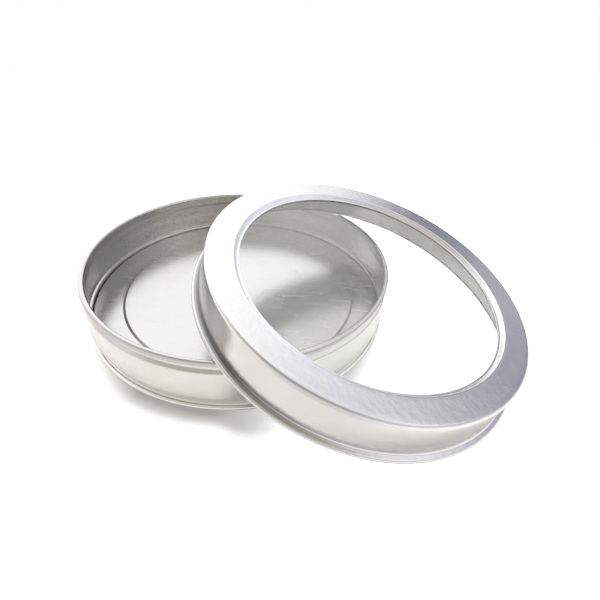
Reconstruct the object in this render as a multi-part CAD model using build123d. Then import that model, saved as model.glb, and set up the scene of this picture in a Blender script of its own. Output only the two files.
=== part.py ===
from build123d import *
import math
import os

# A round slip-lid tin, open: the base stands on the ground, and the lid leans against it, with
# one side on the ground and its edge across the base's rim. All lengths are in millimetres.
# The origin is on the ground at the middle of the base, and +Z is up.

# Sheet
tin_gauge = 0.25

# Base: its wall, from the rolled rim down over the neck and the body to the foot
rim_radius = 46.5
rim_roll_radius = 0.8
rim_roll_sweep = 288.0
base_height = 17.0
body_setback = 0.2
neck_height = 4.4
shoulder_angle = 55.0
shoulder_bend_radius = 0.55
foot_height = 4.5
foot_groove_depth = 0.8
foot_angle = 65.0
foot_bend_radius = 0.35
flange_bend_radius = 0.4

# Base: its bottom, whose edge is folded round the wall's flange in a seam bead
seam_stand_out = 0.1
seam_roll_radius = 0.55
seam_play = 0.08
panel_rise = 3.0
panel_bend_radius = 0.6
panel_foot_bend_radius = 0.35
panel_ring_inset = 10.3
panel_ring_rise = 0.5
panel_ring_angle = 40.0
panel_ring_bend_radius = 0.35

# Lid: its ring, which is a flat top, a skirt and a rolled hem in one sheet
skirt_clearance = 0.25
lid_height = 12.7
lid_corner_radius = 0.9
hem_roll_radius = 0.55
hem_roll_sweep = 262.0
hem_reach = 1.6
hem_slope = 10.0
hem_bend_radius = 0.7

# Lid: the window, which is set in from the skirt by the ring's breadth, and what holds it
ring_breadth = 8.8
lip_width = 1.7
lip_drop = 1.2
lip_angle = 60.0
lip_bend_radius = 0.5
pane_thickness = 0.4
pane_play = 0.05
retainer_setback = 0.2
retainer_play = 0.03
retainer_bend_radius = 0.4

# How the lid leans: the middle of its mouth lies this far inside the rim's circle
lid_middle_inset = 6.6
lean_heading = -18.0
rest_gap = 0.1
steepest_lean = 30.0
halvings = 40
points_round_hem = 1440

# Sizes that follow from those above
half_gauge = tin_gauge / 2
body_radius = rim_radius - body_setback
seam_radius = body_radius + seam_stand_out
seam_fold_centre = seam_radius - seam_roll_radius
body_middle = body_radius - half_gauge
groove_middle = body_middle - foot_groove_depth
panel_ring_radius = body_radius - panel_ring_inset
skirt_radius = rim_radius + skirt_clearance + tin_gauge
hem_radius = skirt_radius + hem_reach
hem_circle_radius = hem_radius - hem_roll_radius
window_radius = skirt_radius - ring_breadth
pane_top = lid_height - lip_drop - tin_gauge - pane_play
retainer_top = pane_top - pane_thickness - pane_play
retainer_radius = skirt_radius - tin_gauge - retainer_play
pane_radius = retainer_radius - tin_gauge - (retainer_bend_radius - half_gauge) - pane_play
lid_offset = rim_radius - lid_middle_inset


def run(length):
    """A straight stretch of the sheet."""
    return ("run", length, 0.0)


def bend(radius, degrees):
    """A bend of the sheet's middle, to the left where the degrees are positive."""
    return ("bend", radius, degrees)


def aimed(degrees):
    """The unit vector at an angle from the radius line, in the plane of a half section."""
    return Vector(math.cos(math.radians(degrees)), math.sin(math.radians(degrees)))


def sheet_section(start, heading, moves):
    """The half section of a formed sheet, which follows runs and bends from its first edge.

    Both faces lie half a gauge from the middle line, so a run gives two parallel lines and a
    bend gives two arcs about one centre.
    """
    place = Vector(*start)
    first_left = place + aimed(heading + 90) * half_gauge
    first_right = place - aimed(heading + 90) * half_gauge
    edges = [Line(first_left, first_right)]
    for kind, size, degrees in moves:
        left = aimed(heading + 90)
        if kind == "run":
            end = place + aimed(heading) * size
            for side in (left * half_gauge, left * -half_gauge):
                edges.append(Line(place + side, end + side))
        else:
            side = math.copysign(1, degrees)
            centre = place + left * size * side
            from_angle = heading - 90 * side
            for radius in (size - half_gauge, size + half_gauge):
                edges.append(CenterArc(centre, radius, from_angle, degrees))
            end = centre + aimed(from_angle + degrees) * size
            heading += degrees
        place = end
    last_left = place + aimed(heading + 90) * half_gauge
    last_right = place - aimed(heading + 90) * half_gauge
    edges.append(Line(last_left, last_right))
    return make_face(edges)


def turned(section):
    """The round piece whose half section stands on the X axis, with its height along Z."""
    return revolve(Plane.XZ * section, Axis.Z, 360)


def step_run(drop, radius, angle):
    """The straight stretch between two equal and opposite bends that shift a sheet sideways."""
    return (drop - 2 * radius * (1 - math.cos(math.radians(angle)))) / math.sin(math.radians(angle))


def step_length(drop, radius, angle):
    """How far such a shift takes the sheet along its first heading."""
    slope = step_run(drop, radius, angle) * math.cos(math.radians(angle))
    return 2 * radius * math.sin(math.radians(angle)) + slope


def make_base_wall():
    """The wall, up from the flange in the seam.

    It goes up the groove of the foot, out to the body, in over the shoulder, up the neck, and
    out in a roll.
    """
    roll_middle = rim_roll_radius - half_gauge
    neck_middle = rim_radius - 2 * rim_roll_radius + half_gauge
    shoulder_in = body_middle - neck_middle
    shoulder_up = step_length(shoulder_in, shoulder_bend_radius, shoulder_angle)
    shoulder_foot = base_height - neck_height
    foot_up = step_length(foot_groove_depth, foot_bend_radius, foot_angle)
    flange_middle = tin_gauge + seam_play + half_gauge
    moves = [
        run(seam_fold_centre - groove_middle - flange_bend_radius),
        bend(flange_bend_radius, -90),
        run(foot_height - foot_up - flange_middle - flange_bend_radius),
        bend(foot_bend_radius, -foot_angle),
        run(step_run(foot_groove_depth, foot_bend_radius, foot_angle)),
        bend(foot_bend_radius, foot_angle),
        run(shoulder_foot - foot_height),
        bend(shoulder_bend_radius, shoulder_angle),
        run(step_run(shoulder_in, shoulder_bend_radius, shoulder_angle)),
        bend(shoulder_bend_radius, -shoulder_angle),
        run(base_height - rim_roll_radius - shoulder_foot - shoulder_up),
        bend(roll_middle, -rim_roll_sweep),
    ]
    return turned(sheet_section((seam_fold_centre, flange_middle), 180, moves))


def make_base_bottom():
    """The bottom: a panel with one pressed ring, down inside the wall, and folded round its flange."""
    leg_middle = groove_middle - tin_gauge - seam_play
    fold_middle = seam_roll_radius - half_gauge
    panel_middle = panel_rise + half_gauge
    ring_length = step_length(panel_ring_rise, panel_ring_bend_radius, panel_ring_angle)
    hem_edge = groove_middle + half_gauge + seam_play
    moves = [
        run(panel_ring_radius),
        bend(panel_ring_bend_radius, -panel_ring_angle),
        run(step_run(panel_ring_rise, panel_ring_bend_radius, panel_ring_angle)),
        bend(panel_ring_bend_radius, panel_ring_angle),
        run(leg_middle - panel_bend_radius - panel_ring_radius - ring_length),
        bend(panel_bend_radius, -90),
        run(panel_middle - panel_bend_radius - panel_foot_bend_radius - half_gauge),
        bend(panel_foot_bend_radius, 90),
        run(seam_fold_centre - leg_middle - panel_foot_bend_radius),
        bend(fold_middle, 180),
        run(seam_fold_centre - hem_edge),
    ]
    return turned(sheet_section((0, panel_middle + panel_ring_rise), 0, moves))


def make_lid_ring():
    """The lid's ring: rolled hem, skirt, rounded corner, flat top, and the lip of the window."""
    roll_middle = hem_roll_radius - half_gauge
    skirt_middle = skirt_radius - half_gauge
    corner_middle = lid_corner_radius - half_gauge
    roll_end_angle = 90 - hem_slope
    hem_centre = Vector(hem_circle_radius, hem_roll_radius)
    hem_start = hem_centre + aimed(roll_end_angle - hem_roll_sweep) * roll_middle
    roll_end = hem_centre + aimed(roll_end_angle) * roll_middle
    bend_in = hem_bend_radius * (1 - math.sin(math.radians(hem_slope)))
    bend_up = hem_bend_radius * math.cos(math.radians(hem_slope))
    flange_run = (roll_end.X - skirt_middle - bend_in) / math.cos(math.radians(hem_slope))
    skirt_foot = roll_end.Y + flange_run * math.sin(math.radians(hem_slope)) + bend_up
    lip_run = step_run(lip_drop, lip_bend_radius, lip_angle)
    lip_length = step_length(lip_drop, lip_bend_radius, lip_angle)
    moves = [
        bend(roll_middle, hem_roll_sweep),
        run(flange_run),
        bend(hem_bend_radius, -90 + hem_slope),
        run(lid_height - lid_corner_radius - skirt_foot),
        bend(corner_middle, 90),
        run(skirt_radius - lid_corner_radius - window_radius - lip_width),
        bend(lip_bend_radius, lip_angle),
        run(lip_run),
        bend(lip_bend_radius, -lip_angle),
        run(lip_width - lip_length),
    ]
    start_heading = roll_end_angle - hem_roll_sweep + 90
    return turned(sheet_section((hem_start.X, hem_start.Y), start_heading, moves))


def make_window_pane():
    """The clear sheet of the window, which lies under the lip and on the retainer."""
    top_down = (Align.CENTER, Align.CENTER, Align.MAX)
    return Pos(0, 0, pane_top) * Cylinder(pane_radius, pane_thickness, align=top_down)


def make_window_retainer():
    """The ring pressed into the skirt, whose flat holds the pane up and whose wall grips the skirt."""
    wall_middle = retainer_radius - half_gauge
    plate_middle = retainer_top - half_gauge
    inner_edge = window_radius + retainer_setback
    wall_top = lid_height - lid_corner_radius - retainer_play
    moves = [
        run(wall_middle - retainer_bend_radius - inner_edge),
        bend(retainer_bend_radius, 90),
        run(wall_top - plate_middle - retainer_bend_radius),
    ]
    return turned(sheet_section((inner_edge, plate_middle), 0, moves))


def lid_lift_at(lean):
    """The height of the middle of the lid's mouth when its hem touches the ground at this lean."""
    turn = math.radians(lean)
    return hem_roll_radius * (1 - math.cos(turn)) + hem_circle_radius * math.sin(turn)


def lid_clears_rim(lean):
    """Whether the hem passes above the rolled rim with the rest gap, at this lean.

    The hem and the rim are rolls about two circles, so their gap is the least distance between
    those circles, less both rolls' radii.
    """
    turn = math.radians(lean)
    nearest = (math.inf, 0.0)
    for step in range(points_round_hem):
        around = math.tau * step / points_round_hem
        downhill = hem_circle_radius * math.cos(around)
        across = hem_circle_radius * math.sin(around)
        x = lid_offset + downhill * math.cos(turn) + hem_roll_radius * math.sin(turn)
        z = lid_lift_at(lean) - downhill * math.sin(turn) + hem_roll_radius * math.cos(turn)
        level = z - (base_height - rim_roll_radius)
        reach = math.hypot(x, across) - (rim_radius - rim_roll_radius)
        nearest = min(nearest, (math.hypot(level, reach), level))
    distance, level = nearest
    return level > 0 and distance >= hem_roll_radius + rim_roll_radius + rest_gap


def resting_lean():
    """The least lean at which the lid's hem still clears the rim, found by halving."""
    low = 0.0
    high = steepest_lean
    for _ in range(halvings):
        middle = (low + high) / 2
        if lid_clears_rim(middle):
            high = middle
        else:
            low = middle
    return high


lean = resting_lean()
downhill = Vector(aimed(lean_heading).X, aimed(lean_heading).Y, 0)
tilt_axis = Axis((0, 0, 0), (-downhill.Y, downhill.X, 0))
lid_place = downhill * lid_offset + Vector(0, 0, lid_lift_at(lean))


def leaned(piece):
    """A lid piece, turned from lying flat to its lean and put beside the base."""
    return piece.rotate(tilt_axis, lean).moved(Location(lid_place))


base_pieces = {
    "base_wall": make_base_wall(),
    "base_bottom": make_base_bottom(),
}
lid_pieces = {
    "lid_ring": make_lid_ring(),
    "window_pane": make_window_pane(),
    "window_retainer": make_window_retainer(),
}

os.makedirs("parts", exist_ok=True)
for name, piece in base_pieces.items():
    export_step(piece, f"parts/{name}.step")
for name, piece in lid_pieces.items():
    export_step(leaned(piece), f"parts/{name}.step")

print(f"lean {lean:.3f} degrees, mouth {lid_place.Z:.3f} mm up, hem radius {hem_radius:.2f} mm")
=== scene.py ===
# %% [markdown]
# # A round window tin, open, with its lid leaning on its base
#
# The object is four thin pieces of tinplate and one clear sheet. The base is a rolled wall
# with a seamed-on bottom, and the lid is one deep-drawn ring with a window held under its lip.
# Every metal piece here is the same idea: a line that runs and bends like the middle of the
# sheet, given a thickness, and turned about the tin's axis. So one function traces sheets, one
# turns them, and the rest of the lesson is about sizes, surfaces and light.

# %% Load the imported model
import math

import bpy
import numpy as np
from mathutils import Matrix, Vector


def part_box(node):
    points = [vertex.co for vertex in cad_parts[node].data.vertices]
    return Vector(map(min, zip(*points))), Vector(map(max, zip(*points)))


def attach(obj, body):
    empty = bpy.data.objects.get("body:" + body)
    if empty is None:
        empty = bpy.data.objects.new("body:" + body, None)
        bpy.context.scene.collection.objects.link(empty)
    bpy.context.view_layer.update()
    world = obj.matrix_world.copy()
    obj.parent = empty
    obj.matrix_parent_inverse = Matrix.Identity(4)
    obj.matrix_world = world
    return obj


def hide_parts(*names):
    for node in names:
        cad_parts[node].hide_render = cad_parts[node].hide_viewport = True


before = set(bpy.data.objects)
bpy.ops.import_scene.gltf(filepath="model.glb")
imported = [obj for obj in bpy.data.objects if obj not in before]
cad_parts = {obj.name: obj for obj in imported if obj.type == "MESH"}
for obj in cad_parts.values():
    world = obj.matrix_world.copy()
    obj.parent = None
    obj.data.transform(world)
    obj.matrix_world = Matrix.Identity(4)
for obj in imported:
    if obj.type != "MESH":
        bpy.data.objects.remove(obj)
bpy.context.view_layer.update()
METRE = 1000.0
print("nodes:", sorted(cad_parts))

# %% [markdown]
# ## Where the base and the lid are
#
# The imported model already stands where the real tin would. The base's axis is the vertical
# line through the origin. The lid leans, and its axis could be typed in, but reading it from
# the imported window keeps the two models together: the window is a flat disc, so the direction
# in which its points spread least is the lid's axis.

# %% Measure the lid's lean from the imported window
def points_of(node):
    """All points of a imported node, as an array of rows x, y, z in millimetres."""
    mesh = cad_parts[node].data
    flat = np.empty(len(mesh.vertices) * 3)
    mesh.vertices.foreach_get("co", flat)
    return flat.reshape(-1, 3) * METRE


window_points = points_of("window_pane")
window_low, window_high = window_points.min(0), window_points.max(0)
window_middle = (window_low + window_high) / 2
lid_axis = np.linalg.svd(window_points - window_points.mean(0), full_matrices=False)[2][2]
lid_axis = lid_axis * math.copysign(1, lid_axis[2])
mouth_level = (points_of("lid_ring") @ lid_axis).min()
mouth_middle = window_middle + lid_axis * (mouth_level - window_middle @ lid_axis)
lid_lean = math.acos(lid_axis[2])
print("lean", round(math.degrees(lid_lean), 3), "degrees, mouth middle", mouth_middle.round(3))

# %% [markdown]
# ## The sheet and its sizes
#
# Tinplate for such a tin is about a quarter of a millimetre thick. The sizes below are those
# of the pressing tools, in millimetres and degrees: radii are outside sizes, and bends are
# given at the middle of the sheet, because that is the line the tracing function follows. The
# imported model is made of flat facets, which lie a few micrometres inside the true circles, so
# every radius here is reduced by a hair to stay within it.

# %% Sizes of the tin, in millimetres and degrees
gauge = 0.25
half_gauge = gauge / 2
edge_chamfer = 0.04
facet_allowance = 0.004

rim_radius = 46.5
rim_roll, rim_sweep, rim_overhang = 0.8, 288.0, 0.2
base_height = 17.0
body_radius = rim_radius - rim_overhang
neck_height = 4.4
neck_foot = base_height - neck_height
shoulder_angle, shoulder_bend = 55.0, 0.55
foot_height = 4.5
foot_groove = 0.8
foot_angle, foot_bend = 65.0, 0.35
flange_bend = 0.4

seam_roll, seam_overhang, seam_play = 0.55, 0.1, 0.08
seam_centre = body_radius + seam_overhang - seam_roll
panel_rise, panel_bend, panel_foot_bend = 3.0, 0.6, 0.35
ring_inset, ring_rise, ring_angle, ring_bend = 10.3, 0.5, 40.0, 0.35
ring_start = body_radius - ring_inset

lid_play = 0.25
skirt_radius = rim_radius + lid_play + gauge
lid_height = 12.7
lid_corner = 0.9
hem_roll, hem_sweep, hem_slope, hem_bend, hem_overhang = 0.55, 262.0, 10.0, 0.7, 1.6
hem_centre = skirt_radius + hem_overhang - hem_roll
lid_top_width = 8.8
window_radius = skirt_radius - lid_top_width
lip_width, lip_drop, lip_angle, lip_bend = 1.7, 1.2, 60.0, 0.5

window_thickness, window_play = 0.4, 0.05
window_top = lid_height - lip_drop - gauge - window_play
retainer_top = window_top - window_thickness - window_play
retainer_bend, retainer_play, retainer_inset = 0.4, 0.03, 0.2
retainer_radius = skirt_radius - gauge - retainer_play
sheet_radius = retainer_radius - gauge - (retainer_bend - half_gauge) - window_play

base_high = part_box("base_wall")[1]
print("rim radius, here and packed:", rim_radius, round(base_high.x * METRE, 2))
print("base height, here and packed:", base_height, round(base_high.z * METRE, 2))

# %% [markdown]
# ## Tracing a sheet
#
# A press or a roller leaves a sheet straight, or bent about one centre. A drawing of the
# section could be typed in as points, but a list of runs and bends says what the tools did,
# and it keeps every bend tangent to the runs beside it, so no false crease shows in the
# reflections.

# %% Trace the middle line of a sheet
run_spacing = 1.2
bend_spacing = 7.5


def move_length(size, degrees):
    """How much of the sheet's middle line a move takes."""
    return size * math.radians(abs(degrees)) if degrees else size


def step_run(drop, radius, angle):
    """The straight stretch between two equal and opposite bends that shift a sheet sideways."""
    turn = math.radians(angle)
    return (drop - 2 * radius * (1 - math.cos(turn))) / math.sin(turn)


def step_length(drop, radius, angle):
    """How far such a shift takes the sheet along its first heading."""
    slope = step_run(drop, radius, angle) * math.cos(math.radians(angle))
    return 2 * radius * math.sin(math.radians(angle)) + slope


def middle_line(start, heading, moves):
    """Points, headings, distances and bentness along a sheet's middle line.

    A move is (length, 0) for a run and (radius, degrees) for a bend, to the left where the
    degrees are positive. On a run the point goes along the heading. On a bend it goes round
    the centre that lies one radius to the side, and the heading turns by the same angle.
    """
    place, distance, tables = np.array(start, float), 0.0, []
    for size, degrees in moves:
        side = math.copysign(1, degrees) if degrees else 0
        steps = max(3, math.ceil(abs(degrees) / bend_spacing if side else size / run_spacing))
        share = np.linspace(0, 1, steps + 1)
        turning = np.radians(heading + share * degrees)
        if side:
            out = np.radians(heading - 90 * side)
            centre = place - size * np.array([math.cos(out), math.sin(out)])
            around = turning - side * math.pi / 2
            points = centre + size * np.stack([np.cos(around), np.sin(around)], 1)
        else:
            along = np.array([math.cos(turning[0]), math.sin(turning[0])])
            points = place + share[:, None] * size * along
        length = move_length(size, degrees)
        bent = np.full(steps + 1, float(bool(side)))
        table = np.column_stack([points, turning, distance + share * length, bent])
        tables.append(table if not tables else table[1:])
        place, distance, heading = points[-1], distance + length, heading + degrees
    return np.concatenate(tables)


lip_shift = step_length(lip_drop, lip_bend, lip_angle)
print("the window's lip steps down over", round(lip_shift, 2), "of its", lip_width, "mm")


# %% The outline of a sheet's section
def sheet_outline(start, heading, moves, on_axis=False):
    """The outline of a sheet's section: rows of radius, height, distance, bentness and side.

    Both faces lie half a gauge from the middle line, along the normal at each point. The side
    is 1 on the left face, which is the tin's inside, and 0 on the right one. A cut edge has
    its two corners taken off. A sheet that starts on the axis has no first edge.
    """
    line = middle_line(start, heading, moves)
    along = np.stack([np.cos(line[:, 2]), np.sin(line[:, 2])], 1)
    normal = np.stack([-along[:, 1], along[:, 0]], 1)
    middle = line[:, :2].copy()
    if not on_axis:
        middle[0] += along[0] * edge_chamfer
    middle[-1] -= along[-1] * edge_chamfer
    left, right = middle + normal * half_gauge, middle - normal * half_gauge
    inner = half_gauge - edge_chamfer
    last = np.stack([line[-1, :2] + normal[-1] * inner, line[-1, :2] - normal[-1] * inner])
    first = np.stack([line[0, :2] - normal[0] * inner, line[0, :2] + normal[0] * inner])
    facts = line[:, 3:]
    rows = [
        np.column_stack([left, facts, np.ones(len(left))]),
        np.column_stack([last, np.tile(facts[-1], (2, 1)), [1.0, 0.0]]),
        np.column_stack([right, facts, np.zeros(len(right))])[::-1],
    ]
    if not on_axis:
        rows.append(np.column_stack([first, np.tile(facts[0], (2, 1)), [0.0, 1.0]]))
    return np.concatenate(rows)


print("outline of a 5 mm strip:", len(sheet_outline((0, 0), 0, [(5, 0)])), "points")

# %% [markdown]
# ## Turning a section into a closed surface
#
# Blender's Spin or Screw would turn the outline too, but a grid of two parameters, the angle
# and the step along the outline, keeps hold of what each point is: how far along the blank it
# was, and how bent the sheet is there. Those two go into the mesh as a UV map and as an
# attribute, and the metal reads them later. The UV map is the flat blank, in millimetres, so
# that the rolled grain runs straight over a top and fans out down a skirt, as on a real
# drawn part.

# %% Place and measure a surface
def upright(points):
    """Points of a piece of the base, which is already in place."""
    return points


def leaned(points):
    """Points turned by the lean, about the level line square to it, and moved to the mouth."""
    level = np.cross([0, 0, 1], lid_axis)
    turn = np.array(Matrix.Rotation(lid_lean, 3, level.tolist()))
    return points @ turn.T + mouth_middle


def enclosed_volume(mesh):
    """A sixth of the sum, over the triangles, of the corners' triple product."""
    mesh.calc_loop_triangles()
    corner = np.empty(len(mesh.loop_triangles) * 3, np.int32)
    mesh.loop_triangles.foreach_get("vertices", corner)
    place = np.empty(len(mesh.vertices) * 3)
    mesh.vertices.foreach_get("co", place)
    a, b, c = place.reshape(-1, 3)[corner.reshape(-1, 3)].transpose(1, 0, 2)
    return float(np.einsum("ij,ij->i", a, np.cross(b, c)).sum() / 6)


print("the lid's mouth is at", leaned(np.zeros(3)).round(2), "mm")

# %% Turn an outline about the axis
segments = 360
sharp_angle = 35.0


def turned_piece(name, outline, blank_start, place, waves=None, closed=True):
    """A piece whose outline is turned about the axis: x, y = radius times cosine and sine.

    The grid goes once round the axis and once along the outline. A closed outline joins its
    own start. An open one starts and ends on the axis, where each end is a single point.
    """
    radius, height, distance = outline.T[:3]
    poles = [] if closed else [outline[0], outline[-1]]
    if not closed:
        radius, height, distance = outline[1:-1].T[:3]
    rows = len(radius)
    angle = np.linspace(0, math.tau, segments, endpoint=False)[:, None]
    far = np.broadcast_to(radius - facet_allowance, (segments, rows)).copy()
    high = np.broadcast_to(height, (segments, rows)).copy()
    if waves:
        out, up = waves(angle, far, high, np.broadcast_to(distance, far.shape))
        far, high = far + out, high + up
    points = np.stack([far * np.cos(angle), far * np.sin(angle), high], 2).reshape(-1, 3)
    blank = blank_start + np.broadcast_to(distance, far.shape)
    flat = np.stack([blank * np.cos(angle), blank * np.sin(angle)], 2).reshape(-1, 2)
    facts = np.tile(outline[:, 3:] if closed else outline[1:-1, 3:], (segments, 1))

    here = np.arange(segments)[:, None] * rows + np.arange(rows if closed else rows - 1)
    next_row = np.arange(segments)[:, None] * rows + (np.arange(here.shape[1]) + 1) % rows
    beside, beside_next = ((index + rows) % (segments * rows) for index in (here, next_row))
    quads = np.stack([here, beside, beside_next, next_row], 2).reshape(-1, 4)
    faces = quads.tolist()
    for number, pole in enumerate(poles):
        row = np.arange(segments) * rows + (0 if number == 0 else rows - 1)
        ends = np.stack([row, np.roll(row, -1)], 1)
        ends = ends[:, ::-1] if number == 0 else ends
        faces += [[len(points), *pair] for pair in ends.tolist()]
        points = np.vstack([points, [0, 0, pole[1]]])
        flat = np.vstack([flat, [0, 0]])
        facts = np.vstack([facts, pole[3:]])

    mesh = bpy.data.meshes.new(name)
    mesh.from_pydata((place(points) / METRE).tolist(), [], faces)
    corners = np.empty(len(mesh.loops), np.int32)
    mesh.loops.foreach_get("vertex_index", corners)
    mesh.uv_layers.new(name="blank").data.foreach_set("uv", flat[corners].ravel())
    for fact, values in zip(("bentness", "inner_side"), facts.T):
        attribute = mesh.attributes.new(fact, "FLOAT", "POINT")
        attribute.data.foreach_set("value", np.ascontiguousarray(values))
    if enclosed_volume(mesh) < 0:
        mesh.flip_normals()
    mesh.polygons.foreach_set("use_smooth", np.ones(len(mesh.polygons), bool))
    mesh.set_sharp_from_angle(angle=math.radians(sharp_angle))
    piece = bpy.data.objects.new(name, mesh)
    bpy.context.scene.collection.objects.link(piece)
    volume = round(enclosed_volume(mesh) * METRE**3, 1)
    print(name, "faces", len(mesh.polygons), "volume, mm3", volume)
    return piece

# %% [markdown]
# ## The base's wall
#
# A strip of tinplate is rolled into a hoop, its top edge is curled outwards into a safe rim,
# and a bead roller sets in the neck on which the lid sits and the groove above the seam. A
# real wall is never quite true: it flexes between the stiff rolls, which a few slow waves
# give. They only push inwards, so the wall keeps its outside size.

# %% The base's wall
wall_dent = 0.06


def slow_waves(angle, across, count, phase):
    """From 0 to 1: the weighted mean of three cosines round the axis.

    They have count, count + 2 and 2 count + 3 waves to a turn, and across, a height or a
    radius, shifts the first two a little, so that the waves drift over the piece.
    """
    first = np.cos(count * angle + phase + across * 0.11)
    second = np.cos((count + 2) * angle - phase * 1.7 - across * 0.07)
    third = np.cos((2 * count + 3) * angle + phase * 0.6)
    return 0.5 + (first + 0.7 * second + 0.35 * third) / 4.1


def wall_waves(angle, radius, height, distance):
    """Inward dents of the body, which fade to nothing at the neck and the foot."""
    body = np.clip(np.sin(np.pi * (height - foot_height) / (neck_foot - foot_height)), 0, 1)
    inside = (height > foot_height) & (height < neck_foot)
    waves = slow_waves(angle, height, count=5, phase=0.8)
    return np.where(inside, -wall_dent * body * waves, 0.0), 0.0


neck_middle = rim_radius - 2 * rim_roll + half_gauge
body_middle = body_radius - half_gauge
groove_middle = body_middle - foot_groove
flange_level = gauge + seam_play + half_gauge
foot_rise = step_length(foot_groove, foot_bend, foot_angle)
shoulder_rise = step_length(body_middle - neck_middle, shoulder_bend, shoulder_angle)
wall_moves = [
    (seam_centre - groove_middle - flange_bend, 0),
    (flange_bend, -90),
    (foot_height - foot_rise - flange_level - flange_bend, 0),
    (foot_bend, -foot_angle),
    (step_run(foot_groove, foot_bend, foot_angle), 0),
    (foot_bend, foot_angle),
    (neck_foot - foot_height, 0),
    (shoulder_bend, shoulder_angle),
    (step_run(body_middle - neck_middle, shoulder_bend, shoulder_angle), 0),
    (shoulder_bend, -shoulder_angle),
    (base_height - rim_roll - neck_foot - shoulder_rise, 0),
    (rim_roll - half_gauge, -rim_sweep),
]
wall_outline = sheet_outline((seam_centre, flange_level), 180, wall_moves)
base_wall = turned_piece("base_wall_tin", wall_outline, rim_radius, upright, wall_waves)

# %% [markdown]
# ## The base's bottom
#
# The bottom is pressed from a disc: a flat panel with one shallow ring that stiffens it, a
# short wall that fits inside the body, and an edge folded round the body's flange. That fold
# is the small bead on which the tin stands. The panel is thin and wide, so it is more uneven
# than the wall.

# %% The base's bottom
panel_dip = 0.09
panel_middle = panel_rise + half_gauge
leg_middle = groove_middle - gauge - seam_play
ring_length = step_length(ring_rise, ring_bend, ring_angle)


def panel_waves(angle, radius, height, distance):
    """An uneven panel: it dips between the middle and the pressed ring, and is true outside it."""
    inner = np.clip(1 - (distance / ring_start) ** 2, 0, 1) * (distance / ring_start) ** 0.5
    return 0.0, -panel_dip * inner * slow_waves(angle, distance, count=2, phase=2.1)


bottom_moves = [
    (ring_start, 0),
    (ring_bend, -ring_angle),
    (step_run(ring_rise, ring_bend, ring_angle), 0),
    (ring_bend, ring_angle),
    (leg_middle - panel_bend - ring_start - ring_length, 0),
    (panel_bend, -90),
    (panel_middle - panel_bend - panel_foot_bend - half_gauge, 0),
    (panel_foot_bend, 90),
    (seam_centre - leg_middle - panel_foot_bend, 0),
    (seam_roll - half_gauge, 180),
    (seam_centre - groove_middle - half_gauge - seam_play, 0),
]
bottom_outline = sheet_outline((0, panel_middle + ring_rise), 0, bottom_moves, on_axis=True)
base_bottom = turned_piece(
    "base_bottom_tin", bottom_outline, 0, upright, panel_waves, closed=False
)

# %% [markdown]
# ## The lid's ring
#
# The lid is drawn from one blank: a flat ring with a sunk lip round the window, a rounded
# corner, a skirt, and at its mouth a flare whose edge is curled under, so that no raw edge
# meets the hand. The flat top is where the eye reads the metal, so it gets its own slow
# waves, of a few hundredths of a millimetre.

# %% The lid's ring
lid_wave_depth = 0.05
skirt_waves_from = 3.0
slack = 0.01


def lid_waves(angle, radius, height, distance):
    """Sunk waves of the flat top and inward ones of the skirt, none at the rolls and corners."""
    inner, outer = window_radius + lip_width, skirt_radius - lid_corner
    top = np.clip(np.sin(np.pi * (radius - inner) / (outer - inner)), 0, 1)
    on_top = (height > lid_height - gauge - slack) & (radius > inner) & (radius < outer)
    low, high = skirt_waves_from, lid_height - lid_corner
    side = np.clip(np.sin(np.pi * (height - low) / (high - low)), 0, 1)
    on_side = (height > low) & (height < high) & (radius > skirt_radius - gauge - slack)
    down = -lid_wave_depth * top * slow_waves(angle, radius, count=6, phase=0.3)
    inwards = -lid_wave_depth * side * slow_waves(angle, height, count=4, phase=1.9)
    return np.where(on_side, inwards, 0.0), np.where(on_top, down, 0.0)


def on_hem(turn):
    """A point on the curled hem's middle line."""
    return hem_centre + math.cos(turn) * hem_middle, hem_roll + math.sin(turn) * hem_middle


hem_middle = hem_roll - half_gauge
skirt_middle = skirt_radius - half_gauge
hem_end = 90 - hem_slope
hem_first, hem_last = math.radians(hem_end - hem_sweep), math.radians(hem_end)
flare_start = on_hem(hem_last)
slope = math.radians(hem_slope)
flare_run = (flare_start[0] - skirt_middle - hem_bend * (1 - math.sin(slope))) / math.cos(slope)
skirt_foot = flare_start[1] + flare_run * math.sin(slope) + hem_bend * math.cos(slope)
lid_moves = [
    (hem_middle, hem_sweep),
    (flare_run, 0),
    (hem_bend, -90 + hem_slope),
    (lid_height - lid_corner - skirt_foot, 0),
    (lid_corner - half_gauge, 90),
    (skirt_radius - lid_corner - window_radius - lip_width, 0),
    (lip_bend, lip_angle),
    (step_run(lip_drop, lip_bend, lip_angle), 0),
    (lip_bend, -lip_angle),
    (lip_width - lip_shift, 0),
]
lid_outline = sheet_outline(on_hem(hem_first), hem_end - hem_sweep + 90, lid_moves)
lid_outline[:, 2] = window_radius + lid_outline[:, 2].max() - lid_outline[:, 2]
lid_ring = turned_piece("lid_ring_tin", lid_outline, 0, leaned, lid_waves)

# %% [markdown]
# ## The ring that holds the window
#
# Under the window lies a second, hidden pressing: a flat ring with an upstand that grips the
# inside of the skirt. It shows from below, so it gets the same care.

# %% The window's retainer
retainer_middle = retainer_top - half_gauge
retainer_inner = window_radius + retainer_inset
retainer_moves = [
    (retainer_radius - half_gauge - retainer_bend - retainer_inner, 0),
    (retainer_bend, 90),
    (lid_height - lid_corner - retainer_play - retainer_middle - retainer_bend, 0),
]
retainer_outline = sheet_outline((retainer_inner, retainer_middle), 0, retainer_moves)
retainer = turned_piece("window_retainer_tin", retainer_outline, retainer_inner, leaned)

# %% [markdown]
# ## The window
#
# The window is a disc die-cut from clear plastic sheet. It could be a flat cylinder, but a
# sheet this thin sags a little between its edges and is never quite flat, and that is what
# makes the reflections in it swim. So it is a turned outline too, with a small radius at its
# cut edge, and both of its faces follow the same sag, which goes down only.

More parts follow.
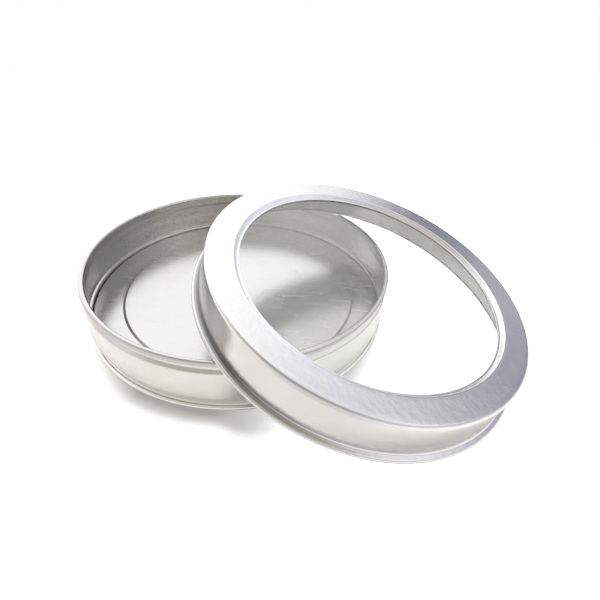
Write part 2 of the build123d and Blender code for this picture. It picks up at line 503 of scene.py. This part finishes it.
# %% The window
window_sag = 0.07
held_edge = 2.0
edge_round = 0.08
window_steps = 46


def window_waves(angle, radius, height, distance):
    """A shallow sag with slow waves in it, nothing near the held edge."""
    share = np.clip(radius / (window_radius - held_edge), 0, 1)
    free = (1 - share**2) ** 2
    waves = slow_waves(angle, radius, count=2, phase=0.4)
    return 0.0, -window_sag * free * (0.55 + 0.45 * waves)


flat_part = np.linspace(0, sheet_radius - edge_round, window_steps)
corner_turn = np.radians(np.array([22.5, 45.0, 67.5, 90.0]))
corner_out = sheet_radius - edge_round + edge_round * np.sin(corner_turn)
corner_drop = edge_round * (1 - np.cos(corner_turn))
upper = np.column_stack([np.append(flat_part, corner_out), np.append(flat_part * 0, -corner_drop)])
lower = upper[::-1] * [1, -1] - [0, window_thickness]
window_profile = np.concatenate([upper, lower]) + [0, window_top]
window_outline = np.column_stack([window_profile, window_profile[:, 0], window_profile * 0])
window = turned_piece("window_sheet", window_outline, 0, leaned, window_waves, closed=False)

# %% [markdown]
# ## Colours and nodes
#
# Colours are written the way a paint chart or a photograph gives them, as sRGB hex, and one
# function turns them into the linear numbers that light is worked out with. A second small
# function adds a node with its settings and links, which keeps each finish short enough to
# read as a recipe.

# %% Helpers for materials
def linear(hex_colour):
    """An sRGB hex colour as linear red, green, blue and alpha: the standard's curve, undone."""
    values = np.array([int(hex_colour[i : i + 2], 16) / 255 for i in (1, 3, 5)])
    curved = np.where(values <= 0.04045, values / 12.92, ((values + 0.055) / 1.055) ** 2.4)
    return (*curved.tolist(), 1.0)


def add_node(tree, kind, inputs=(), output=0, **settings):
    """Adds a node and gives back one of its outputs.

    The inputs are a dict by name or number, or a list of the first ones in their order. Each
    is a plain value, or the output that feeds it. A node without outputs gives back nothing.
    """
    node = tree.nodes.new(kind)
    for name, value in settings.items():
        setattr(node, name, value)
    for name, value in inputs.items() if isinstance(inputs, dict) else enumerate(inputs):
        if isinstance(value, bpy.types.NodeSocket):
            tree.links.new(value, node.inputs[name])
        else:
            node.inputs[name].default_value = value
    return node.outputs[output] if node.outputs else None


def new_material(name):
    """An empty node material and the tree to fill."""
    material = bpy.data.materials.new(name)
    material.use_nodes = True
    material.node_tree.nodes.clear()
    return material, material.node_tree


# A Mix node for colours has them as its inputs 6 and 7 and its output 2.
of_colours = {"output": 2, "data_type": "RGBA"}
blank_place = {"kind": "ShaderNodeUVMap", "output": "UV", "uv_map": "blank"}
object_place = {"kind": "ShaderNodeTexCoord", "output": "Object"}
print("paper white in linear light:", [round(v, 3) for v in linear("#f4f4f2")])

# %% [markdown]
# ## Satin tinplate
#
# Tinplate is steel with a skin of tin about a micrometre thick. The rolls that made it leave
# fine straight lines, and the tin is matt between them, so the eye gets a soft silver: it
# mirrors the room, but blurred. The sheet is never quite flat, and ripples, a few hundredths
# of a millimetre high on the lid and less elsewhere, break up the edges of what it mirrors.
# Handling adds faint cloudy smudges and a few hair scratches, and the tools polish every bend.
#
# The real grain is about 0.03 mm from line to line, which is far below a pixel here, so it is
# drawn 0.3 mm apart. On the drawn lid and the pressed bottom the pattern reads the blank's UV
# map. On the rolled wall it reads Object coordinates, squeezed along the axis, so the lines
# run round the tin.
#
# A list of numbers for a Map Range node is its value, the range it comes from and the range
# it goes to.

# %% Tinplate
grain_relief = 0.0003
bend_polish = 0.04
# Of each pattern: the scale of its axes, its size in millimetres, its detail and roughness.
tinplate_patterns = {
    "grain": (None, 0.3, 3.0, 0.6),
    "ripples": ((1, 1, 1), 2.0, 2.0, 0.55),
    "clouds": ((1, 1, 1), 14.0, 3.0, 0.5),
    "smudges": ((1, 1.7, 1), 5.0, 4.0, 0.65),
    "hairs": ((0.03, 1, 1), 0.45, 0.0, 0.5),
}


def tinplate(name, colours, grain_way, satin, ripple, marks=()):
    """Satin tinplate, pale and dull outside, and on the tin's inside darker, a painted shade.

    grain_way is the coordinates that the patterns read, a millimetre in their unit, and the
    scale of their three axes that draws the grain out into lines. satin is the roughness, and
    ripple is the height of the ripples in millimetres. marks are what lies on this piece
    alone: each takes the tree and the colour and roughness so far, and gives both back.
    """
    pale, dull, inside = colours
    coordinates, unit, along = grain_way
    material, tree = new_material(name)
    place = add_node(tree, **coordinates)
    pattern = {}
    for what, (scale, size, detail, roughness) in tinplate_patterns.items():
        mapped = add_node(tree, "ShaderNodeMapping", {"Vector": place, "Scale": scale or along})
        inputs = {"Vector": mapped, "Scale": 1 / (size * unit)}
        inputs |= {"Detail": detail, "Roughness": roughness}
        pattern[what] = add_node(tree, "ShaderNodeTexNoise", inputs, "Fac")
    scratch = add_node(tree, "ShaderNodeMapRange", [pattern["hairs"], 0.735, 0.76, 0.0, 1.0])
    bent = add_node(tree, "ShaderNodeAttribute", output="Fac", attribute_name="bentness")

    cloudy = add_node(tree, "ShaderNodeMapRange", [pattern["clouds"], 0.3, 0.7, 0.0, 0.6])
    grainy = add_node(tree, "ShaderNodeMapRange", [pattern["grain"], 0.3, 0.7, 0.0, 0.4])
    tone = add_node(tree, "ShaderNodeMath", [cloudy, grainy], operation="ADD")
    outside = {0: tone, 6: linear(pale), 7: linear(dull)}
    colour = add_node(tree, "ShaderNodeMix", outside, **of_colours)
    inner = add_node(tree, "ShaderNodeAttribute", output="Fac", attribute_name="inner_side")
    # The inside colour is painted shade for the inside of the tin.
    both_sides = {0: inner, 6: colour, 7: linear(inside)}
    colour = add_node(tree, "ShaderNodeMix", both_sides, **of_colours)

    smudged = [pattern["smudges"], 0.35, 0.7, satin - 0.02, satin + 0.05]
    rough = add_node(tree, "ShaderNodeMapRange", smudged)
    for amount, part in ((0.03, pattern["grain"]), (0.06, scratch), (-bend_polish, bent)):
        rough = add_node(tree, "ShaderNodeMath", [part, amount, rough], operation="MULTIPLY_ADD")
    for mark in marks:
        colour, rough = mark(tree, colour, rough)

    scored = [scratch, -0.4, pattern["grain"]]
    lines = add_node(tree, "ShaderNodeMath", scored, operation="MULTIPLY_ADD")
    rippled = add_node(
        tree,
        "ShaderNodeBump",
        {"Height": pattern["ripples"], "Strength": 1.0, "Distance": ripple / METRE},
    )
    grained = add_node(
        tree,
        "ShaderNodeBump",
        {"Height": lines, "Strength": 1.0, "Distance": grain_relief / METRE, "Normal": rippled},
    )
    metal = add_node(
        tree,
        "ShaderNodeBsdfPrincipled",
        {"Base Color": colour, "Metallic": 1.0, "Roughness": rough, "Normal": grained},
    )
    add_node(tree, "ShaderNodeOutputMaterial", {"Surface": metal})
    print(name, "nodes", len(tree.nodes))
    return material


print("patterns:", ", ".join(tinplate_patterns))

# %% [markdown]
# ## Marks on single pieces
#
# An even finish leaves the metal duller in some places than the photograph shows it and cleaner
# in others. So some pieces carry painted light of their own: on the lid painted shade in the
# hem's crease, painted shade on a stretch of the corner, a painted highlight on the skirt over
# the base and a painted highlight on the step of the window's lip, which is also rougher, and on
# the base a painted highlight in the corner above the seam. What made them on the real tin is a
# guess.
#
# A mark is a product of ranges. Each row is a value, the range it comes from and the range it
# goes to. The blank's UV map gives how far out a point lies, in millimetres, and Object
# coordinates give the side, in metres: the base lies at the left end of the lid.

# %% Where the marks lie
reached = np.cumsum([move_length(*move) for move in lid_moves])
blank_radius = lid_outline[0, 2]
crease_middle = blank_radius - (reached[1] + reached[2]) / 2
corner_middle = blank_radius - (reached[3] + reached[4]) / 2
lip_start = blank_radius - reached[5]
lines_at = [round(float(line), 2) for line in (crease_middle, corner_middle, lip_start)]
print("crease, corner and lip, mm from the blank's middle:", lines_at)


def off_line(tree, line):
    """How far out on the blank a point lies from a ring, in millimetres."""
    place = add_node(tree, **blank_place)
    out = add_node(tree, "ShaderNodeVectorMath", [place], "Value", operation="LENGTH")
    return add_node(tree, "ShaderNodeMath", [out, line], operation="SUBTRACT")


def object_axis(tree, axis):
    """One coordinate of the place on the object, in metres."""
    return add_node(tree, "ShaderNodeSeparateXYZ", [add_node(tree, **object_place)], axis)


def marked(tree, ranges, colour, mark, rough, rougher=0.0):
    """Colour and roughness, taken towards the mark's by the product of the given ranges."""
    share = 1.0
    for row in ranges:
        part = add_node(tree, "ShaderNodeMapRange", row)
        share = add_node(tree, "ShaderNodeMath", [part, share], operation="MULTIPLY")
    inputs = {0: share, 6: colour, 7: linear(mark)}
    colour = add_node(tree, "ShaderNodeMix", inputs, **of_colours)
    if rougher:
        rough = add_node(tree, "ShaderNodeMath", [share, rougher, rough], operation="MULTIPLY_ADD")
    return colour, rough


# %% Marks on the lid
def painted_crease_shade(tree, colour, rough):
    """Painted shade on the hem, on the side that faces the base.

    It starts at the foot of the skirt, is deepest in the crease and ends where the roll's top
    shines.
    """
    off, side = off_line(tree, crease_middle), object_axis(tree, "X")
    ranges = [
        (off, -0.8, -0.1, 0.0, 1.0),
        (off, 1.3, 0.95, 0.0, 1.0),
        (off, 0.75, 0.35, 0.76, 1.0),
        (side, 0.034, 0.006, 0.0, 0.93),
        (side, -0.008, 0.008, 0.78, 1.0),
    ]
    # The dark grey is painted shade for the crease between the hem and the skirt.
    return marked(tree, ranges, colour, "#3e3d3b", rough)


def painted_corner_shade(tree, colour, rough):
    """Painted shade, a greyer stretch of the lid's top corner, at the front left."""
    off, side = off_line(tree, corner_middle), object_axis(tree, "X")
    ranges = [
        (off, -0.9, -0.5, 0.0, 1.0),
        (off, 1.2, 0.7, 0.0, 1.0),
        (side, 0.048, 0.034, 0.0, 1.0),
        (side, 0.0135, 0.021, 0.0, 1.0),
    ]
    # The grey is painted shade on the corner.
    return marked(tree, ranges, colour, "#d2d0d2", rough)


def painted_skirt_highlight(tree, colour, rough):
    """A painted highlight, white, on the skirt's upper part, where it hangs over the base."""
    off, side = off_line(tree, corner_middle), object_axis(tree, "X")
    ranges = [
        (off, -0.6, 0.6, 0.0, 1.0),
        (off, 9.5, 7.0, 0.0, 1.0),
        (side, 0.012, 0.003, 0.0, 1.0),
    ]
    # The white is a painted highlight on the skirt.
    return marked(tree, ranges, colour, "#ffffff", rough)


def painted_lip_highlight(tree, colour, rough):
    """A painted highlight, white, on the step of the window's lip, on the left, where the
    roughness is also raised.
    """
    off = off_line(tree, lip_start)
    side, back = object_axis(tree, "X"), object_axis(tree, "Y")
    ranges = [
        (off, 0.5, 0.1, 0.0, 1.0),
        (side, 0.04, 0.015, 0.0, 1.0),
        (back, 0.026, 0.014, 0.0, 1.0),
    ]
    # The white is a painted highlight on the lip's step; the added roughness is the finish.
    return marked(tree, ranges, colour, "#ffffff", rough, rougher=0.3)


lid_marks = (painted_skirt_highlight, painted_crease_shade, painted_corner_shade, painted_lip_highlight)
print("marks on the lid:", [mark.__name__ for mark in lid_marks])


# %% The mark on the base
def painted_seam_highlight(tree, colour, rough):
    """A painted highlight, near white, in the corner above the seam's fold."""
    flattened = [add_node(tree, **object_place), (1.0, 1.0, 0.0)]
    level = add_node(tree, "ShaderNodeVectorMath", flattened, operation="MULTIPLY")
    out = add_node(tree, "ShaderNodeVectorMath", [level], "Value", operation="LENGTH")
    height = object_axis(tree, "Z")
    ranges = [
        (out, 0.0452, 0.0453, 0.0, 1.0),
        (height, 0.0007, 0.0009, 0.0, 1.0),
        (height, 0.0018, 0.0013, 0.0, 1.0),
    ]
    # The near white is a painted highlight in the seam's corner.
    return marked(tree, ranges, colour, "#fffdfa", rough)


base_marks = (painted_seam_highlight,)
print("marks on the base:", [mark.__name__ for mark in base_marks])

# %% The tinplate of the four metal pieces
# Each finish's third colour, for the inside, is darker than the outside: painted shade.
across_the_blank = (blank_place, 1.0, (0.02, 1, 1))
round_the_tin = (object_place, 1 / METRE, (0.02, 0.02, 1))

# Deep-drawn: the drawing leaves the most ripples, so what it mirrors wavers the most.
lid_tinplate = tinplate(
    "satin_tinplate_drawn_lid",
    ("#e8e4e2", "#e0dcda", "#b6b4b0"),
    across_the_blank,
    satin=0.19,
    ripple=0.05,
    marks=lid_marks,
)

# Greyer all over, a painted shade for where it lies under the lid, and the most matt.
retainer_tinplate = tinplate(
    "plain_tinplate_retainer",
    ("#c9c9c6", "#bdbdb9", "#b9b8b4"),
    across_the_blank,
    satin=0.27,
    ripple=0.01,
)

# Rolled into a hoop: nearly without ripples, so it mirrors in clean bands.
wall_tinplate = tinplate(
    "satin_tinplate_rolled_wall",
    ("#eae6e2", "#e3dfdb", "#cbc8c4"),
    round_the_tin,
    satin=0.2,
    ripple=0.006,
    marks=base_marks,
)

# Pressed: a little more matt than the wall, so the light in it is soft.
bottom_tinplate = tinplate(
    "satin_tinplate_pressed_bottom",
    ("#e7e4e1", "#dedbd8", "#cbc8c4"),
    across_the_blank,
    satin=0.22,
    ripple=0.01,
    marks=base_marks,
)

# %% [markdown]
# ## Clear plastic sheet
#
# Window tins are glazed with PET or PVC sheet, clear as glass but softer: it bends light a
# little more than glass, and handling leaves a faint haze and fine rubs. It lets lamplight
# straight through to what is under it, which a mix with a transparent shader on shadow and
# diffuse rays gives without waiting for caustics.

# %% Clear sheet
# In millimetres: how wide the rubs and the ripples are, and how high the ripples.
rub_size, sheet_ripple_size, sheet_ripple = 6, 16, 0.02


def clear_sheet():
    """Clear calendered PET: nearly colourless, very smooth, with a faint haze of rubs."""
    material, tree = new_material("clear_pet_sheet")
    place = add_node(tree, **object_place)
    wide = add_node(tree, "ShaderNodeMapping", {"Vector": place, "Scale": (1, 3, 1)})
    rubbed = {"Vector": wide, "Scale": METRE / rub_size, "Detail": 5.0, "Roughness": 0.7}
    rubs = add_node(tree, "ShaderNodeTexNoise", rubbed)
    uneven = {"Vector": place, "Scale": METRE / sheet_ripple_size, "Detail": 1.0}
    ripple = add_node(tree, "ShaderNodeTexNoise", uneven)
    raised = {"Height": ripple, "Strength": 1.0, "Distance": sheet_ripple / METRE}
    bump = add_node(tree, "ShaderNodeBump", raised)
    hazy = add_node(tree, "ShaderNodeMapRange", [rubs, 0.4, 0.75, 0.02, 0.08])
    inputs = {"Base Color": linear("#fdfefe"), "Roughness": hazy, "IOR": 1.57, "Normal": bump}
    inputs["Transmission Weight"] = 0.98
    plastic = add_node(tree, "ShaderNodeBsdfPrincipled", inputs)
    through = add_node(tree, "ShaderNodeBsdfTransparent", {"Color": linear("#f9fbfb")})
    to_lamp = add_node(tree, "ShaderNodeLightPath", output="Is Shadow Ray")
    bounced = add_node(tree, "ShaderNodeLightPath", output="Is Diffuse Ray")
    straight = add_node(tree, "ShaderNodeMath", [to_lamp, bounced], operation="MAXIMUM")
    surface = add_node(tree, "ShaderNodeMixShader", [straight, plastic, through])
    add_node(tree, "ShaderNodeOutputMaterial", {"Surface": surface})
    return material


clear_pet = clear_sheet()
print("clear sheet nodes", len(clear_pet.node_tree.nodes))

# %% [markdown]
# ## Putting the pieces on the model's bodies
#
# Each piece takes the place of one imported node and rides on the body that carries it.

# %% Finish and mount every piece
fittings = [
    (base_wall, wall_tinplate, "base", "base_wall", "tin_body"),
    (base_bottom, bottom_tinplate, "base", "base_bottom", "tin_body"),
    (lid_ring, lid_tinplate, "lid", "lid_ring", "tin_lid"),
    (retainer, retainer_tinplate, "lid", "window_retainer", "tin_lid"),
    (window, clear_pet, "lid", "window_pane", "clear_pane"),
]
for piece, material, body, node, slot in fittings:
    piece.data.materials.append(material)
    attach(piece, body)
    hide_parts(node)
    print(piece.name, "on", body, "for", node)

# %% [markdown]
# ## The floor
#
# The tin stands on a sweep of white paper, which is matt, so the eye sees soft shadows in it
# and nothing mirrored. What bounces light is a plain pale floor. What the lens sees, straight,
# through the window or in the metal, is lifted, so that the ground goes to white a short way
# from the tin, as an overexposed backdrop does. The picture keeps the shadow in front of the
# base and washes out the rest, so the straight view is lifted on the left, at the back, on
# the lid's side and farther off. In the metal the lift is strongest close to the base and
# under the lid.

# %% A pale floor
floor_half = 4.0
shadow_reach = 0.16
floor_mesh = bpy.data.meshes.new("floor")
floor_corners = [(-floor_half, -floor_half, 0), (floor_half, -floor_half, 0)]
floor_corners += [(floor_half, floor_half, 0), (-floor_half, floor_half, 0)]
floor_mesh.from_pydata(floor_corners, [], [(0, 1, 2, 3)])
floor = bpy.data.objects.new("floor", floor_mesh)
bpy.context.scene.collection.objects.link(floor)

paper, tree = new_material("white_paper_sweep")
spot = add_node(tree, **object_place)
distance = add_node(tree, "ShaderNodeVectorMath", [spot], "Value", operation="LENGTH")
away = add_node(tree, "ShaderNodeMapRange", [distance, shadow_reach, 2 * shadow_reach, 0.0, 1.0])
across, back = (add_node(tree, "ShaderNodeSeparateXYZ", [spot], axis) for axis in "XY")
lifts = {}
# Rows: the ray, the value, the range it comes from, the lift it goes to, and how it is joined.
for ray, value, start, end, low, high, how in (
    ("Glossy", distance, 0.0485, 0.054, 0.23, 0.015, None),
    ("Glossy", across, 0.03, 0.07, 0.0, 0.29, "ADD"),
    ("Transmission", across, 0.036, 0.05, 0.3, 1.0, None),
    ("Camera", across, 0.002, 0.03, 0.08, 0.9, None),
    ("Camera", across, -0.018, -0.042, 0.08, 0.85, "MAXIMUM"),
    ("Camera", distance, 0.0492, 0.0565, 0.08, 0.9, "MAXIMUM"),
    ("Camera", back, -0.03, -0.008, 0.08, 0.9, "MAXIMUM"),
):
    lift = add_node(tree, "ShaderNodeMapRange", [value, start, end, low, high])
    if how:
        lift = add_node(tree, "ShaderNodeMath", [lifts[ray], lift], operation=how)
    lifts[ray] = lift

white = add_node(tree, "ShaderNodeEmission", {"Color": linear("#ffffff"), "Strength": 1.0})
lit = add_node(tree, "ShaderNodeBsdfDiffuse", {"Color": linear("#fdfdfb")})
surface = add_node(tree, "ShaderNodeBsdfDiffuse", {"Color": linear("#e7e7e5")})
for ray, lift in lifts.items():
    own = add_node(tree, "ShaderNodeEmission", {"Color": linear("#ffffff"), "Strength": lift})
    lifted = add_node(tree, "ShaderNodeAddShader", [lit, own])
    seen = add_node(tree, "ShaderNodeMixShader", [away, lifted, white])
    this_ray = add_node(tree, "ShaderNodeLightPath", output=f"Is {ray} Ray")
    surface = add_node(tree, "ShaderNodeMixShader", [this_ray, surface, seen])
add_node(tree, "ShaderNodeOutputMaterial", {"Surface": surface})
floor_mesh.materials.append(paper)
print("floor", 2 * floor_half, "m wide")

# %% [markdown]
# ## Light
#
# One softbox hangs nearly over the tin, a little behind it and to the left, so the shadow
# falls a few millimetres towards the lens. Satin metal shows the room more than the lamp, so
# the room matters. In what the metal mirrors there is a white backdrop behind and to the
# left, with an edge that the lid's flat ring catches, and a grey room, warm on the left and
# lilac on the right, paler low down, towards the front and overhead. A darker patch high up
# on the lens's side is the photographer's. A picture of a studio could be wrapped round the
# scene, but a few smooth ranges over the direction say the same. Light can be brighter than
# white, so the room's tones are written as linear numbers.

# %% Softbox
def aim_at(thing, place, target):
    """Puts a lamp at a place, with its face towards the target."""
    back = np.array(place) - np.array(target)
    side = np.cross([0, 1, 0], back)
    side, back = side / np.linalg.norm(side), back / np.linalg.norm(back)
    turn = Matrix(np.column_stack([side, np.cross(back, side), back]).tolist()).to_4x4()
    thing.matrix_world = Matrix.Translation(place) @ turn


softbox_size = 0.36
softbox_share = 0.84
softbox_place = np.array([-0.05, 0.18, 0.9])
softbox_reach = float(np.linalg.norm(softbox_place))
softbox_light = bpy.data.lights.new("softbox", "AREA")
softbox_light.shape = "SQUARE"
softbox_light.size = softbox_size
softbox_light.energy = softbox_share * math.pi**2 * softbox_reach**3 / softbox_place[2]
softbox = bpy.data.objects.new("softbox", softbox_light)
softbox.visible_camera = False
softbox.visible_glossy = False
bpy.context.scene.collection.objects.link(softbox)
aim_at(softbox, softbox_place.tolist(), (0.0, 0.0, 0.0))
print("softbox", softbox_size, "m square, energy", round(softbox_light.energy, 2), "W")

# %% The room
warm_dark, lilac_dark = (0.4, 0.385, 0.33, 1.0), (0.265, 0.285, 0.36, 1.0)
pale_wall, photographer_tone = (1.1, 1.14, 1.2, 1.0), (0.53, 0.515, 0.44, 1.0)
backdrop_tint = (1.0, 1.03, 1.06)
fill_strength = 0.23
room_ways = {"edge": (107.0, -16.0), "gap": (41.0, 24.0), "photographer": (-165.0, 48.0)}
room = bpy.data.worlds.new("studio room")
bpy.context.scene.world = room
room.use_nodes = True
tree = room.node_tree
tree.nodes.clear()
direction = add_node(tree, "ShaderNodeTexCoord", output="Generated")
rightwards, sideways, upwards = (
    add_node(tree, "ShaderNodeSeparateXYZ", [direction], axis) for axis in "XYZ"
)
towards = {}
for what, degrees in room_ways.items():
    turn, rise = np.radians(degrees)
    way = (math.sin(turn) * math.cos(rise), math.cos(turn) * math.cos(rise), math.sin(rise))
    towards[what] = add_node(
        tree, "ShaderNodeVectorMath", [direction, way], "Value", operation="DOT_PRODUCT"
    )

level = 0.0
# Rows: the value, the range over which the room grows paler, and by how much it does.
for value, start, end, amount in (
    (upwards, 0.28, 0.08, 0.64),
    (sideways, 0.65, 0.0, 0.5),
    (upwards, 0.5, 0.8, 0.85),
    (towards["gap"], 0.987, 0.999, 0.34),
):
    paler = add_node(tree, "ShaderNodeMapRange", [value, start, end, 0.0, amount])
    level = add_node(tree, "ShaderNodeMath", [paler, level], operation="ADD")
on_right = add_node(tree, "ShaderNodeMapRange", [rightwards, -0.3, 0.2, 0.0, 1.0])
dark = {0: on_right, 6: warm_dark, 7: lilac_dark}
dark = add_node(tree, "ShaderNodeMix", dark, **of_colours)
walls = add_node(tree, "ShaderNodeMix", {0: level, 6: dark, 7: pale_wall}, **of_colours)

beside = add_node(tree, "ShaderNodeMapRange", [towards["edge"], -0.005, -0.185, 0.0, 1.0])
bright = add_node(tree, "ShaderNodeMapRange", [towards["edge"], -0.185, -0.42, 1.18, 1.55])
behind = add_node(tree, "ShaderNodeMapRange", [sideways, 0.05, 0.45, 0.0, 1.0])
backdrop = add_node(tree, "ShaderNodeMath", [beside, behind], operation="MULTIPLY")
tinted = {0: backdrop_tint, "Scale": bright}
paper_white = add_node(tree, "ShaderNodeVectorMath", tinted, operation="SCALE")
walls = {0: backdrop, 6: walls, 7: paper_white}
walls = add_node(tree, "ShaderNodeMix", walls, **of_colours)

near = add_node(tree, "ShaderNodeMapRange", [towards["photographer"], 0.55, 0.85, 0.0, 1.0])
high = add_node(tree, "ShaderNodeMapRange", [upwards, 0.52, 0.7, 0.0, 1.0])
photographer = add_node(tree, "ShaderNodeMath", [near, high], operation="MULTIPLY")
mirrored = {0: photographer, 6: walls, 7: photographer_tone}
mirrored = add_node(tree, "ShaderNodeMix", mirrored, **of_colours)

fill = {"Color": linear("#fbfbf6"), "Strength": fill_strength}
fill = add_node(tree, "ShaderNodeBackground", fill)
shiny = add_node(tree, "ShaderNodeBackground", {"Color": mirrored, "Strength": 1.0})
clean = add_node(tree, "ShaderNodeBackground", {"Color": linear("#ffffff"), "Strength": 1.0})
glossy, camera_ray, through = (
    add_node(tree, "ShaderNodeLightPath", output=f"Is {ray} Ray")
    for ray in ("Glossy", "Camera", "Transmission")
)
straight = add_node(tree, "ShaderNodeMath", [camera_ray, through], operation="MAXIMUM")
light = add_node(tree, "ShaderNodeMixShader", [glossy, fill, shiny])
light = add_node(tree, "ShaderNodeMixShader", [straight, light, clean])
add_node(tree, "ShaderNodeOutputWorld", {"Surface": light})
bpy.context.scene.view_settings.view_transform = "Standard"
print("room nodes", len(tree.nodes))

# %% [markdown]
# ## The camera
#
# The photograph was taken close, from 35 degrees above, with a wide view, turned a few
# degrees. Those came from matching the rim and the lid's edges to the picture. The focal
# length is written in pixels of a 600-pixel frame, and the shift moves the middle of the lens
# to where the picture has it.

# %% Camera
frame_pixels = 600.0
focal_pixels = 438.22
lens_middle = (325.0, 275.0)
camera_height_angle = math.radians(34.59)
camera_roll = math.radians(5.79)
camera_target = np.array([26.79, 18.53, 0.0]) / METRE
camera_distance = 163.45 / METRE

back = np.array([0, -math.cos(camera_height_angle), math.sin(camera_height_angle)])
right = np.array([1.0, 0.0, 0.0])
up = np.cross(back, right)
rolled_right = math.cos(camera_roll) * right + math.sin(camera_roll) * up
rolled_up = -math.sin(camera_roll) * right + math.cos(camera_roll) * up
lens = bpy.data.cameras.new("camera")
lens.sensor_width = 36.0
lens.lens = lens.sensor_width * focal_pixels / frame_pixels
lens.shift_x = 0.5 - lens_middle[0] / frame_pixels
lens.shift_y = lens_middle[1] / frame_pixels - 0.5
lens.clip_start, lens.clip_end = 0.01, 20.0
camera = bpy.data.objects.new("camera", lens)
bpy.context.scene.collection.objects.link(camera)
turn = Matrix(np.column_stack([rolled_right, rolled_up, back]).tolist()).to_4x4()
camera.matrix_world = Matrix.Translation((camera_target + back * camera_distance).tolist()) @ turn
bpy.context.scene.camera = camera
print("camera at, mm", [round(c * METRE, 1) for c in camera.matrix_world.translation])
